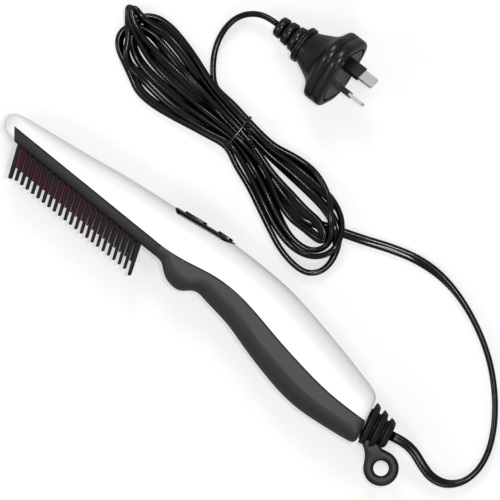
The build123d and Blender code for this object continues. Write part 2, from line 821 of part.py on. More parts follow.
def make_cord_boot():
    start = boot_gap
    along = start + collar_length
    profile = [
        (0, start + hub_insert),
        (neck_radius, start + hub_insert),
        (neck_radius, start),
        (collar_radius, start),
        (collar_radius, along),
    ]
    for number in range(len(rib_radii)):
        profile.append((rib_radii[number], along + 0.1))
        profile.append((rib_end_radii[number], along + rib_length))
        if number < len(groove_radii):
            profile.append((groove_radii[number], along + rib_length + 0.5))
            profile.append((groove_radii[number], along + rib_pitch - 0.4))
        along += rib_pitch
    profile.append((mouth_radius, boot_length))
    profile.append((0, boot_length))
    outline = Plane.XZ * make_face(Polyline(*profile, close=True))
    boot = axle * revolve(outline, Axis.Z)
    ring = Pos(loop_along, -loop_off) * Circle(loop_radius)
    root = Polyline((loop_root[0], -groove_radii[0] + 0.4), (loop_root[1], -groove_radii[1] + 0.4))
    web = make_hull(ring.edges() + root.edges())
    boot += flank * Pos(0, 0, -loop_thickness / 2) * extrude(web, amount=loop_thickness)
    return boot - rod(flank, loop_along, -loop_off, -loop_thickness, loop_thickness, loop_hole_radius)


# ---------------------------------------------------------------- device
def make_device():
    """Every piece of the comb in the working frame, by name."""
    outer = casing(0) & block((-20, 320), (-80, 80), (-flank_half, flank_half))
    walls = outer - casing(wall)
    below = belly_side()
    groove = (outer - casing(seam_depth)) & (below - belly_side(seam_height))
    pieces = {
        "top_shell": make_top_shell(walls, below),
        "bottom_shell": make_bottom_shell(walls, below, groove),
        "comb_guard": make_comb_guard(walls, below, groove),
        "case_screws": make_case_screws(),
        "heater_comb": make_heater_comb(),
        "ptc_elements": make_elements(),
        "electrode_strip": make_electrode_strip(),
        "insulation_film": make_insulation_film(),
        "heater_clamp": make_heater_clamp(),
        "thermal_fuse": make_thermal_fuse(),
        "temperature_sensor": make_temperature_sensor(),
        "heater_leads": make_heater_leads(),
        "sensor_leads": make_sensor_leads(),
        "mains_leads": make_mains_leads(),
        "control_panel": make_control_panel(),
        "power_button": make_button(*buttons[0]),
        "temperature_button": make_button(*buttons[1]),
        "power_switch": make_switch(power_button_at),
        "temperature_switch": make_switch(temperature_button_at),
        "power_plunger": make_plunger(power_button_at),
        "temperature_plunger": make_plunger(temperature_button_at),
        "status_led": make_led(),
        "led_lens": make_led_lens(),
        "circuit_board": make_circuit_board(),
        "board_screws": make_board_screws(),
        "dropper_capacitor": make_dropper_capacitor(),
        "smoothing_capacitor": make_smoothing_capacitor(),
        "triac": make_triac(),
        "control_chip": make_control_chip(),
        "swivel_socket": make_swivel_socket(),
        "live_contact": make_live_contact(),
        "neutral_contact": make_neutral_contact(),
        "swivel_hub": make_swivel_hub(),
        "contact_pin": make_contact_pin(),
        "contact_ring": make_contact_ring(),
        "cord_boot": make_cord_boot(),
    }
    return pieces


# ---------------------------------------------------------------- plug
shoulder_end = -rim_depth - shoulder_depth
relief_front = shoulder_end - collar_depth
plug_end = relief_front - relief_length        # behind the plug's face


def make_plug_body(place):
    """Moulded body with a waisted neck, a collar and a grooved strain relief."""
    rim_outline = RectangleRounded(plug_width, plug_height, plug_corner)
    body = prism(place, rim_outline, -rim_depth, 0)
    middle = -rim_depth - shoulder_waist_at * shoulder_depth
    body += loft([
        place.offset(-rim_depth) * rim_outline,
        place.offset(middle) * RectangleRounded(waist_width, waist_height, waist_corner),
        place.offset(shoulder_end) * RectangleRounded(2 * neck_half, 2 * neck_half, neck_corner),
    ])
    body += rod(place, 0, 0, relief_front, shoulder_end, collar_half)
    relief_middle = relief_front - relief_length / 2
    body += place.offset(relief_middle) * Rot(180, 0, 0) * Cone(relief_start, relief_end, relief_length)
    for number in range(1, relief_grooves + 1):
        at = relief_front - relief_length * number / (relief_grooves + 1)
        groove = rod(place, 0, 0, at - groove_width / 2, at + groove_width / 2, relief_start + 1)
        body -= groove - rod(place, 0, 0, at - groove_width, at + groove_width, relief_end - groove_depth)
    return body


def make_plug_pieces(place):
    """Two pin plug: moulded body, blades and their sleeves."""
    body = make_plug_body(place)
    blades = []
    sleeves = []
    for side in (-1, 1):
        spot = place * Pos(side * blade_spacing / 2, 0, 0) * Rot(0, 0, side * blade_slant)
        blade = Box(blade_thickness, blade_width, blade_length + blade_root)
        blade = spot * Pos(0, 0, (blade_length - blade_root) / 2) * blade
        sleeve = Box(blade_thickness + 2 * sleeve_wall, blade_width + 2 * sleeve_wall, sleeve_length)
        sleeve = spot * Pos(0, 0, sleeve_length / 2) * sleeve
        blades.append(blade)
        sleeves.append(sleeve - blade)
        body -= blade
    return {
        "plug_body": body,
        "plug_blades": group(blades),
        "blade_sleeves": group(sleeves),
    }


def total_box(shapes):
    """Corners of the box round all the shapes."""
    boxes = [shape.bounding_box() for shape in shapes]
    low = [min(getattr(box.min, axis) for box in boxes) for axis in "XYZ"]
    high = [max(getattr(box.max, axis) for box in boxes) for axis in "XYZ"]
    return low, high


# ---------------------------------------------------------------- cord
def cord_tube(name, points):
    """Round tube along straight runs joined by the largest arcs that the runs allow."""
    corners = [Vector(*point) for point in points]
    radii = []
    for before, corner, after in zip(corners, corners[1:], corners[2:]):
        turn = (corner - before).get_angle(after - corner)
        shorter = min((corner - before).length, (after - corner).length)
        radii.append(bend_share * shorter / math.tan(math.radians(turn / 2)))
    path = FilletPolyline(*corners, radius=radii)
    tube = sweep(Plane(origin=path @ 0, z_dir=path % 0) * Circle(cord_width / 2), path=path)
    expected = path.length * math.pi * (cord_width / 2) ** 2
    print(name, "length", round(path.length, 1), "radii", [round(radius, 1) for radius in radii])
    print(name, "volume", round(tube.volume), "expected", round(expected))
    return tube


def plug_plane():
    """Plane on the plug's face, blades along its normal, with the plug resting on the floor."""
    turn = math.radians(plug_turn)
    dip = math.radians(plug_dip)
    roll = math.radians(plug_roll)
    forward = Vector(math.cos(turn) * math.cos(dip), math.sin(turn) * math.cos(dip), math.sin(dip))
    across = Vector(-math.sin(turn), math.cos(turn), 0)
    up = forward.cross(across)
    face = Vector(plug_x, plug_y, 0) - forward * plug_end
    plane = Plane(origin=face, x_dir=across * math.cos(roll) + up * math.sin(roll), z_dir=forward)
    lift = -make_plug_pieces(plane)["plug_body"].bounding_box().min.Z
    return Plane(origin=face + Vector(0, 0, lift), x_dir=plane.x_dir, z_dir=plane.z_dir)


def make_cord_pieces(exit_point):
    """Cord, hank, tie and plug where they lie, in the frame of the floor."""
    plug_place = plug_plane()
    pieces = make_plug_pieces(plug_place)
    relief_back = plug_place.origin + plug_place.z_dir * plug_end
    print("cord starts", exit_point, "cord ends", relief_back)
    cord = cord_tube("power_cord", [exit_point, exit_point + axle.z_dir * cord_lead] + cord_route)
    tail = cord_tube("cord_tail", tail_route + [relief_back - plug_place.z_dir * tail_lead, relief_back])
    hank = extrude(make_face(Spline(hank_outline, periodic=True)), amount=hank_height)
    tie = make_tie(hank)
    pieces["power_cord"] = cord
    pieces["cord_tail"] = tail
    pieces["cord_hank"] = hank - tie - cord - tail
    pieces["cord_tie"] = tie
    return pieces


def make_tie(hank):
    """Band let into the hank all round its waist, with its twisted end lying on top."""
    along = (tie_x - tie_width / 2, tie_x + tie_width / 2)
    waist = hank & block(along, (-200, 200), (-1, hank_height + 1))
    low = waist.bounding_box().min.Y
    high = waist.bounding_box().max.Y
    across = (low + tie_height, high - tie_height)
    band = waist - block(along, across, (tie_height, hank_height - tie_height))
    twist = [(x, y, hank_height + tie_twist_radius) for x, y in tie_twist]
    return group([band, wire(twist, tie_twist_radius, 4.0)])


device = make_device()
low, high = total_box(device.values())
seat = Pos(-(low[0] + high[0]) / 2, -(low[1] + high[1]) / 2, -low[2])
print("device", [round(b - a, 2) for a, b in zip(low, high)], "seat", seat.position)
cord_exit = seat.position + axle.origin + axle.z_dir * boot_length
accessories = make_cord_pieces(cord_exit)

os.makedirs("parts", exist_ok=True)
for name, piece in device.items():
    export_step(seat * piece, f"parts/{name}.step")
for name, piece in accessories.items():
    export_step(piece, f"parts/{name}.step")
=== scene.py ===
import math

import bmesh
import bpy
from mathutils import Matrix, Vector


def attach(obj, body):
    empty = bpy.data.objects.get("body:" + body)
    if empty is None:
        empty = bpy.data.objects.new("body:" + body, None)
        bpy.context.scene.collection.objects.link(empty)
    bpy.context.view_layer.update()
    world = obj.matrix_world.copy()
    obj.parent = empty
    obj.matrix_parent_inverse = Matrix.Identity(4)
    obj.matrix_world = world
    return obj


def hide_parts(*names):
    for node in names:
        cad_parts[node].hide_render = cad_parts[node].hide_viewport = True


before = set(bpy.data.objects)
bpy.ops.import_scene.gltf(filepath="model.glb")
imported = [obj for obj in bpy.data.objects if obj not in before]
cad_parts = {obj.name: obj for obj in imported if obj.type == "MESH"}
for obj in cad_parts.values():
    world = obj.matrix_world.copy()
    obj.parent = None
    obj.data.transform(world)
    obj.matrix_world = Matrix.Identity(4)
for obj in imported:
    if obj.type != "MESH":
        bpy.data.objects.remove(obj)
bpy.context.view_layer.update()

mm = 0.001
scene = bpy.context.scene
mergeWithin = 0.001 * mm       # doubles of the loose triangles
sharpFrom = math.radians(12)   # an edge of a casing stays crisp from this angle


# Small helpers

def linear(hexColour):
    values = [int(hexColour[i:i + 2], 16) / 255 for i in (1, 3, 5)]
    return [v / 12.92 if v <= 0.04045 else ((v + 0.055) / 1.055) ** 2.4 for v in values] + [1.0]


def addNode(tree, kind, **inputs):
    node = tree.nodes.new(kind)
    for name, value in inputs.items():
        node.inputs[name.replace("_", " ")].default_value = value
    return node


# Grain is the size of a moulded texture and its depth, in mm; sheen dims the mirror image of the room
def newMaterial(name, colour, roughness, ior=1.5, metallic=0.0, grain=None, grainDepth=0.02, sheen=0.5):
    material = bpy.data.materials.new(name)
    material.use_nodes = True
    tree = material.node_tree
    shader = tree.nodes["Principled BSDF"]
    shader.inputs["Base Color"].default_value = linear(colour)
    shader.inputs["Roughness"].default_value = roughness
    shader.inputs["IOR"].default_value = ior
    shader.inputs["Metallic"].default_value = metallic
    shader.inputs["Specular IOR Level"].default_value = sheen
    if grain:
        place = addNode(tree, "ShaderNodeTexCoord")
        noise = addNode(tree, "ShaderNodeTexNoise", Scale=1 / (grain * mm), Detail=2.0)
        bump = addNode(tree, "ShaderNodeBump", Distance=grainDepth * mm, Strength=0.6)
        tree.links.new(place.outputs["Object"], noise.inputs["Vector"])
        tree.links.new(noise.outputs["Fac"], bump.inputs["Height"])
        tree.links.new(bump.outputs["Normal"], shader.inputs["Normal"])
    return material


# Changes the colour from one end of a piece to the other
def gradeAlong(material, axis, begin, end, colours):
    tree = material.node_tree
    shader = tree.nodes["Principled BSDF"]
    place = addNode(tree, "ShaderNodeTexCoord")
    split = addNode(tree, "ShaderNodeSeparateXYZ")
    share = addNode(tree, "ShaderNodeMapRange", From_Min=begin * mm, From_Max=end * mm)
    tint = addNode(tree, "ShaderNodeValToRGB")
    for element, colour in zip(tint.color_ramp.elements, colours):
        element.color = linear(colour)
    tree.links.new(place.outputs["Object"], split.inputs["Vector"])
    tree.links.new(split.outputs[axis], share.inputs["Value"])
    tree.links.new(share.outputs["Result"], tint.inputs["Fac"])
    tree.links.new(tint.outputs["Color"], shader.inputs["Base Color"])


def paint(material, *nodes):
    for name in nodes:
        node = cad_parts[name]
        node.data.materials.clear()
        node.data.materials.append(material)


def newObject(name, mesh, material, body, *nodes):
    mesh.materials.clear()
    mesh.materials.append(material)
    piece = bpy.data.objects.new(name, mesh)
    scene.collection.objects.link(piece)
    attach(piece, body)
    if nodes:
        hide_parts(*nodes)
    return piece


# A piece of the part with its triangles merged and its curves shaded smooth
def smoothCopy(name, node, material, body="handle"):
    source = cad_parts[node]
    mesh = source.data.copy()
    mesh.transform(source.matrix_world)
    work = bmesh.new()
    work.from_mesh(mesh)
    bmesh.ops.remove_doubles(work, verts=work.verts, dist=mergeWithin)
    for face in work.faces:
        face.smooth = True
    work.to_mesh(mesh)
    work.free()
    mesh.set_sharp_from_angle(angle=sharpFrom)
    return newObject(name, mesh, material, body, node)


# Points read from a smooth line through a route, each run cut into a few pieces
def alongSpline(points, pieces):
    curve = bpy.data.curves.new("route", "CURVE")
    curve.dimensions = "3D"
    spline = curve.splines.new("NURBS")
    spline.points.add(len(points) - 1)
    for point, value in zip(spline.points, points):
        point.co = (*value, 1)
    spline.order_u = 3
    spline.use_endpoint_u = True
    spline.resolution_u = pieces
    route = bpy.data.objects.new("route", curve)
    scene.collection.objects.link(route)
    line = bpy.data.meshes.new_from_object(route)
    centres = [vertex.co.copy() for vertex in line.vertices]
    bpy.data.objects.remove(route)
    bpy.data.meshes.remove(line)
    return centres


# A skin over rings of points: a tube with capped ends, or a closed ring
def ringMesh(name, rings, closeUp=False):
    work = bmesh.new()
    loops = [[work.verts.new(point) for point in ring] for ring in rings]
    pairs = list(zip(loops, loops[1:]))
    if closeUp:
        pairs.append((loops[-1], loops[0]))
    for before, after in pairs:
        for i in range(len(before)):
            j = (i + 1) % len(before)
            work.faces.new((before[i], after[i], after[j], before[j]))
    if not closeUp:
        work.faces.new(loops[0])
        work.faces.new(list(reversed(loops[-1])))
    bmesh.ops.recalc_face_normals(work, faces=work.faces)
    for face in work.faces:
        face.smooth = True
    mesh = bpy.data.meshes.new(name)
    work.to_mesh(mesh)
    work.free()
    return mesh


# Camera, floor and light

studio = {
    "lens": 450,
    "place": (0.00385, 0.02796, 3.2637),
    "turn": math.radians(39.1),
    "farthest": 20,
    "floorHalf": 3,
    "floorGlow": 0.5,
    "roomGlow": 0.4,
    "lamps": [                 # name, place, what it aims at, width, height and watts
        ("overhead", (0.075, 0.15, 1.6), (0, 0.02, 0), 0.12, 0.1, 7.5),
        ("key", (-0.8, 0.9, 1.1), (0, 0, 0), 0.5, 0.5, 7),
        ("fill", (0.9, -0.6, 1.3), (0, 0, 0), 0.4, 0.4, 4.5),
        ("side", (-0.9, -0.75, 0.8), (0, 0, 0), 0.4, 0.4, 3.5),
    ],
}
scene.view_settings.view_transform = "Standard"
eye = bpy.data.cameras.new("camera")
eye.lens = studio["lens"]
eye.sensor_width = 36
eye.clip_end = studio["farthest"]
camera = bpy.data.objects.new("camera", eye)
camera.location = studio["place"]
camera.rotation_euler = (0, 0, studio["turn"])
scene.collection.objects.link(camera)
scene.camera = camera

# White paper: it looks pure white, and throws less light back at the object than it shows
whiteSweep = newMaterial("white paper sweep", "#bcbcbc", 0.9, sheen=0.0)
sweepTree = whiteSweep.node_tree
sweepShader = sweepTree.nodes["Principled BSDF"]
sweepShader.inputs["Emission Color"].default_value = linear("#ffffff")
sweepShader.inputs["Emission Strength"].default_value = studio["floorGlow"]
rayKind = addNode(sweepTree, "ShaderNodeLightPath")
bounceShade = addNode(sweepTree, "ShaderNodeBsdfDiffuse", Color=linear("#a6a6a6"))
seenOrBounced = addNode(sweepTree, "ShaderNodeMixShader")
sweepTree.links.new(rayKind.outputs["Is Camera Ray"], seenOrBounced.inputs["Fac"])
sweepTree.links.new(bounceShade.outputs["BSDF"], seenOrBounced.inputs[1])
sweepTree.links.new(sweepShader.outputs["BSDF"], seenOrBounced.inputs[2])
sweepTree.links.new(seenOrBounced.outputs["Shader"], sweepTree.nodes["Material Output"].inputs["Surface"])
floorMesh = bpy.data.meshes.new("floor")
half = studio["floorHalf"]
floorMesh.from_pydata([(-half, -half, 0), (half, -half, 0), (half, half, 0), (-half, half, 0)], [], [(0, 1, 2, 3)])
floorMesh.materials.append(whiteSweep)
floor = bpy.data.objects.new("floor", floorMesh)
scene.collection.objects.link(floor)

world = bpy.data.worlds.new("studio")
world.use_nodes = True
background = world.node_tree.nodes["Background"]
background.inputs["Color"].default_value = linear("#ffffff")
background.inputs["Strength"].default_value = studio["roomGlow"]
scene.world = world


def softbox(name, place, aim, width, height, power):
    light = bpy.data.lights.new(name, "AREA")
    light.shape = "RECTANGLE"
    light.size = width
    light.size_y = height
    light.energy = power
    lamp = bpy.data.objects.new(name, light)
    lamp.location = place
    lamp.rotation_euler = (Vector(aim) - Vector(place)).to_track_quat("-Z", "Y").to_euler()
    scene.collection.objects.link(lamp)


for lamp in studio["lamps"]:
    softbox(*lamp)
print("camera and lights ready")

# Finishes

# Moulded ABS casings: soft, wide highlights over a very fine grain
whiteAbs = newMaterial("white satin ABS", "#f0eef0", 0.32, 1.54, grain=0.35, grainDepth=0.004)
charcoalAbs = newMaterial("charcoal ABS", "#1f1f22", 0.5, 1.54, grain=0.6, grainDepth=0.012)
# The comb is matt where it is moulded, and its coated heater is darker towards the handle
blackResin = newMaterial("black heat resistant resin", "#060607", 0.55, 1.55, sheen=0.2)
# Painted shade: the rail runs from grey near the casing to black at the roots of the teeth
gradeAlong(blackResin, "Y", -6.2, -3.6, ("#030303", "#2c2c2e"))
redCoating = newMaterial("wine red ceramic coating", "#8a1836", 0.4, 1.55, sheen=0.2)
gradeAlong(redCoating, "X", -92, -48, ("#8c1638", "#30141c"))
# Polished strip, rubbery boot and shiny extruded cord: dark bodies with narrow highlights
glossBlack = newMaterial("gloss black ABS", "#030304", 0.16, 1.54, sheen=0.15)
softBlack = newMaterial("soft black thermoplastic rubber", "#101012", 0.4, 1.5, sheen=0.3)
cordPvc = newMaterial("gloss black cord PVC", "#040405", 0.2, 1.54, sheen=0.3)
plugPvc = newMaterial("black plug PVC", "#08080a", 0.28, 1.54, sheen=0.4)
# Plated blades mirror the room softly, and their sleeves stay dull
bladeMetal = newMaterial("nickel plated brass", "#efede8", 0.32, metallic=1.0)
sleeveBlack = newMaterial("black nylon sleeve", "#0c0c0d", 0.4, 1.53)
tieBlack = newMaterial("black twist tie", "#070708", 0.22, 1.5)
# Inside the casings: plain finishes, seen only when it is taken apart
zincSteel = newMaterial("zinc plated steel", "#b9bcc0", 0.3, metallic=1.0)
springSteel = newMaterial("spring steel", "#8d8f92", 0.3, metallic=1.0)
heaterCeramic = newMaterial("heating ceramic", "#8a8378", 0.7, 1.7)
softAluminium = newMaterial("soft aluminium", "#d5d6d8", 0.35, metallic=1.0)
polyimide = newMaterial("amber polyimide film", "#a8621a", 0.25, 1.7)
glassBead = newMaterial("sensor glass", "#7a5a3c", 0.1, 1.5)
wireRed = newMaterial("red silicone wire", "#8e1a18", 0.45, 1.41)
wireWhite = newMaterial("white silicone wire", "#dcdcd8", 0.45, 1.41)
wireBrown = newMaterial("brown PVC wire", "#4a2a18", 0.35, 1.54)
switchBlack = newMaterial("switch housing nylon", "#141415", 0.5, 1.53)
plungerWhite = newMaterial("plunger acetal", "#e8e6e0", 0.35, 1.48)
ledEpoxy = newMaterial("diffused epoxy", "#e6e9ee", 0.2, 1.55)
clearGuide = newMaterial("clear polycarbonate", "#dfe4e8", 0.08, 1.585)
laminate = newMaterial("green solder mask", "#1c5a34", 0.3, 1.55)
filmBox = newMaterial("film capacitor case", "#c8a31c", 0.35, 1.5)
blackEpoxy = newMaterial("black moulding epoxy", "#121213", 0.5, 1.55)
naturalNylon = newMaterial("natural nylon", "#d8d3c6", 0.4, 1.53)
contactBrass = newMaterial("contact brass", "#b8934a", 0.28, metallic=1.0)

paint(redCoating, "heater_comb")
paint(zincSteel, "case_screws", "board_screws")
paint(heaterCeramic, "ptc_elements")
paint(softAluminium, "electrode_strip", "smoothing_capacitor")
paint(polyimide, "insulation_film")
paint(springSteel, "heater_clamp", "thermal_fuse")
paint(glassBead, "temperature_sensor")
paint(wireRed, "heater_leads")
paint(wireWhite, "sensor_leads")
paint(wireBrown, "mains_leads")
paint(switchBlack, "power_switch", "temperature_switch")
paint(plungerWhite, "power_plunger", "temperature_plunger")
paint(ledEpoxy, "status_led")
paint(clearGuide, "led_lens")
paint(laminate, "circuit_board")
paint(filmBox, "dropper_capacitor")
paint(blackEpoxy, "triac", "control_chip")
paint(naturalNylon, "swivel_socket", "swivel_hub")
paint(contactBrass, "live_contact", "neutral_contact", "contact_pin", "contact_ring")
paint(bladeMetal, "plug_blades")
paint(sleeveBlack, "blade_sleeves")
print("finishes ready")

# Cord: flat twin, one length from the boot to the plug. Each point has its place in mm
# and how far the section is turned, from wide side up (0) to narrow side up (90).

cord = {
    "wide": 5.2,
    "thin": 3.2,
    "groove": 0.26,            # between the two cores, and what is left of it half way up
    "shoulder": 0.1,
    "length": 1.75,            # metres
    "pieces": 5,               # of each run
}
onFloor = 2.7                  # height of the middle where the cord lies on edge

leadOut = [
    (121.669, -0.661, 13.45, 0), (128.476, 0.973, 13.45, 0), (136.1, 0.5, 12.2, 0), (144.0, -2.5, 9.6, 0),
    (152.0, -4.6, 6.7, 10), (160.3, -2.6, 4.3, 50), (166.5, 3.8, 3.0, 85), (168.8, 12.8, onFloor, 90),
    (167.6, 22.4, onFloor, 90), (163.8, 31.8, onFloor, 90), (157.4, 42.0, onFloor, 90),
    (148.1, 52.8, onFloor, 90), (136.1, 63.1, onFloor, 90), (121.8, 71.4, onFloor, 90),
    (106.2, 77.6, onFloor, 85), (90.4, 80.6, 2.3, 55), (75.2, 79.6, 1.8, 10),
    (60.6, 75.2, 1.8, 0), (47.2, 69.6, 1.8, 10), (36.0, 65.6, 1.9, 20),
]
entryStrand = [
    (26.0, 61.6, 1.9, 10), (17.0, 58.9, 1.9, 5), (9.0, 58.4, 2.2, 25), (1.0, 60.6, 2.7, 60),
    (-8.0, 63.2, 2.7, 90), (-18.0, 66.4, 2.7, 90), (-29.0, 69.4, 2.7, 90), (-39.5, 71.2, 2.7, 90),
]
foldLeftEnd = [
    (-51.0, 72.4, 2.7, 90), (-64.0, 74.0, 3.0, 35), (-77.0, 75.0, 3.0, 12), (-90.0, 76.0, 3.4, 15),
    (-104.5, 77.2, 5.0, 55), (-113.0, 79.6, 7.4, 80), (-119.6, 83.0, 8.0, 90), (-123.4, 87.0, 8.2, 90),
    (-125.4, 86.2, 8.0, 90), (-121.6, 81.4, 7.4, 90), (-116.0, 78.4, 6.6, 90), (-109.0, 75.4, 5.0, 90),
    (-100.0, 72.8, 3.4, 50), (-90.0, 71.2, 2.5, 20), (-77.0, 70.6, 2.5, 12), (-64.0, 70.4, 2.7, 30),
    (-51.0, 69.6, 5.6, 90), (-39.5, 69.3, 7.1, 90),
]
foldRightEnd = [
    (-28.0, 68.3, 6.0, 90), (-16.0, 65.6, 4.4, 90), (-7.6, 61.5, 2.9, 60), (1.2, 57.2, 2.2, 30),
    (10.0, 54.8, 2.0, 20), (18.4, 55.1, 2.4, 30), (25.4, 54.9, 3.8, 30), (29.8, 55.4, 5.0, 45),
    (29.0, 58.6, 5.6, 45), (22.6, 61.6, 5.6, 20), (13.0, 61.8, 5.4, 10), (4.0, 63.2, 5.2, 20),
    (-4.1, 64.8, 5.4, 70), (-14.0, 66.8, 6.0, 90), (-27.0, 71.0, 6.6, 90), (-39.5, 73.4, 7.1, 90),
]
outerLeftEnd = [
    (-51.0, 74.8, 7.1, 90), (-62.0, 75.6, 5.6, 70), (-72.0, 76.4, 4.2, 30), (-81.0, 78.0, 2.2, 15),
    (-90.0, 80.0, 2.0, 5), (-99.0, 81.8, 2.2, 15), (-107.0, 83.2, 2.7, 45), (-114.6, 81.6, 2.7, 60),
    (-119.2, 77.4, 2.7, 50), (-119.2, 71.2, 2.7, 50), (-115.2, 66.4, 2.7, 55), (-107.8, 63.0, 2.5, 45),
    (-100.4, 59.6, 2.2, 20), (-93.6, 56.0, 2.0, 15), (-83.6, 55.5, 2.0, 20), (-71.6, 57.2, 2.2, 35),
    (-60.0, 59.2, 2.7, 65), (-50.0, 60.6, 2.7, 90), (-39.5, 62.6, 2.7, 90),
]
outerRightEnd = [
    (-29.6, 57.4, 2.7, 90), (-18.0, 53.6, 2.7, 90), (-6.7, 48.2, 2.7, 90), (4.5, 43.0, 2.7, 90),
    (15.7, 38.2, 2.7, 90), (25.4, 36.4, 2.7, 90), (33.8, 36.8, 2.7, 90), (39.4, 41.6, 2.7, 90),
    (41.0, 49.0, 2.7, 90), (38.6, 57.0, 2.7, 60), (34.0, 63.4, 5.2, 5), (28.4, 67.2, 5.2, 5),
    (20.6, 69.8, 3.4, 15), (12.0, 70.9, 2.4, 20), (2.0, 71.6, 2.2, 25), (-9.0, 72.2, 2.3, 45),
    (-19.0, 72.4, 2.7, 70), (-29.0, 74.0, 2.7, 90), (-39.5, 75.4, 2.7, 90),
]
tipLeftEnd = [
    (-52.0, 77.2, 2.7, 90), (-63.0, 78.6, 2.6, 60), (-73.0, 81.0, 2.2, 20), (-83.0, 83.8, 2.0, 10),
    (-93.0, 86.4, 2.0, 10), (-102.0, 87.6, 2.4, 30), (-110.0, 86.2, 4.6, 35), (-117.0, 86.4, 7.0, 65),
    (-122.6, 88.4, 6.0, 90), (-124.2, 84.2, 5.0, 90), (-119.6, 79.0, 6.8, 90), (-114.6, 73.2, 6.8, 90),
    (-111.2, 66.8, 6.8, 80), (-105.4, 62.8, 5.6, 40), (-97.4, 62.6, 3.0, 15), (-86.0, 61.2, 2.4, 10),
    (-74.0, 60.5, 2.2, 10), (-62.0, 61.6, 2.6, 25), (-50.0, 62.8, 4.4, 55), (-39.5, 65.0, 7.1, 90),
]
twinRightEnd = [
    (-30.0, 61.8, 6.0, 90), (-20.0, 58.0, 4.0, 80), (-7.7, 52.6, 2.5, 55), (4.0, 47.0, 2.5, 60),
    (14.4, 43.6, 2.7, 80), (23.2, 42.9, 2.7, 90), (30.8, 45.2, 4.2, 90), (36.0, 50.4, 7.0, 90),
    (37.8, 57.0, 8.0, 90), (36.0, 64.0, 6.4, 90), (31.6, 70.0, 5.0, 90), (25.4, 74.0, 2.9, 90),
    (16.6, 75.6, 2.4, 30), (6.0, 76.0, 2.2, 20), (-6.0, 76.0, 2.2, 20), (-17.0, 75.6, 3.6, 60),
    (-28.0, 76.4, 6.2, 90), (-39.5, 77.6, 7.1, 90),
]
neckLeftEnd = [
    (-51.0, 79.6, 6.6, 90), (-62.0, 81.6, 5.2, 90), (-72.0, 84.6, 3.6, 90), (-82.0, 87.4, 2.7, 50),
    (-92.0, 89.9, 2.3, 30), (-102.0, 91.7, 2.2, 25), (-111.0, 90.8, 2.4, 25), (-117.6, 85.4, 2.7, 50),
    (-115.8, 78.0, 2.7, 70), (-111.8, 73.0, 2.7, 60), (-106.4, 69.2, 3.2, 45), (-98.6, 66.9, 2.6, 25),
    (-88.0, 65.9, 2.2, 15), (-76.0, 65.6, 2.2, 25), (-64.0, 66.0, 2.7, 60), (-51.0, 66.6, 2.7, 90),
    (-39.5, 67.2, 2.7, 90),
]
innerTwinRightEnd = [
    (-30.0, 65.4, 3.4, 70), (-20.0, 62.6, 4.2, 45), (-7.7, 57.2, 2.3, 35), (4.4, 50.8, 2.7, 55),
    (14.6, 46.9, 2.7, 90), (22.6, 46.2, 2.7, 90), (29.0, 47.8, 2.7, 90), (33.0, 52.4, 3.4, 90),
    (33.2, 58.4, 5.8, 80), (29.4, 63.6, 9.2, 80), (24.8, 68.6, 9.4, 80), (20.4, 73.8, 8.2, 90),
    (12.6, 78.6, 5.0, 90), (3.0, 80.8, 2.5, 50), (-8.0, 80.2, 2.5, 55), (-20.0, 78.0, 2.7, 90),
    (-30.0, 78.6, 2.7, 90), (-39.5, 79.8, 2.7, 90),
]
tailOut = [
    (-51.0, 81.6, 2.7, 90), (-60.0, 81.9, onFloor, 90), (-65.0, 83.0, onFloor, 90),
    (-71.0, 89.2, onFloor, 90), (-76.0, 96.8, onFloor, 90), (-78.8, 105.2, 3.0, 90),
    (-79.1, 113.3, 4.1, 90), (-76.9, 120.0, 5.4, 90), (-72.1, 125.2, 7.0, 90),
    (-65.391, 128.081, 8.855, 90), (-58.6, 128.2, 10.548, 90),
]
hankTurns = (entryStrand + foldLeftEnd + foldRightEnd + outerLeftEnd + outerRightEnd + tipLeftEnd
             + twinRightEnd + neckLeftEnd + innerTwinRightEnd)


def twinSection():
    half = cord["thin"] / 2
    off = (cord["wide"] - cord["thin"]) / 2
    outline = []
    for side in (1, -1):
        for degrees in range(-75, 90, 15):
            angle = math.radians(degrees)
            outline.append((side * (off + half * math.cos(angle)), side * half * math.sin(angle)))
        outline.append((side * off * 0.5, side * (half - cord["shoulder"])))
        outline.append((0, side * (half - cord["groove"])))
        outline.append((-side * off * 0.5, side * (half - cord["shoulder"])))
    return outline


def cordRings(centres, turns):
    outline = twinSection()
    rings = []
    for index, centre in enumerate(centres):
        ahead = centres[min(index + 1, len(centres) - 1)] - centres[max(index - 1, 0)]
        side = ahead.cross(Vector((0, 0, 1))).normalized()
        up = side.cross(ahead).normalized()
        angle = math.radians(turns[index])
        wide = side * math.cos(angle) + up * math.sin(angle)
        thin = up * math.cos(angle) - side * math.sin(angle)
        rings.append([centre + (wide * a + thin * b) * mm for a, b in outline])
    return rings


cordPoints = leadOut + hankTurns + tailOut
cordLine = alongSpline([(x * mm, y * mm, z * mm) for x, y, z, turn in cordPoints], cord["pieces"])
cordTurns = [place.y for place in alongSpline([(i, point[3], 0) for i, point in enumerate(cordPoints)],
                                              cord["pieces"])]
cordLength = sum((b - a).length for a, b in zip(cordLine, cordLine[1:]))
print("cord length", round(cordLength, 3), "rings", len(cordLine))
mainsCord = newObject("mainsCord", ringMesh("mainsCord", cordRings(cordLine, cordTurns)), cordPvc, "handle",
                      "power_cord", "cord_hank", "cord_tail")
print("cord ready")

# Casing, comb and controls

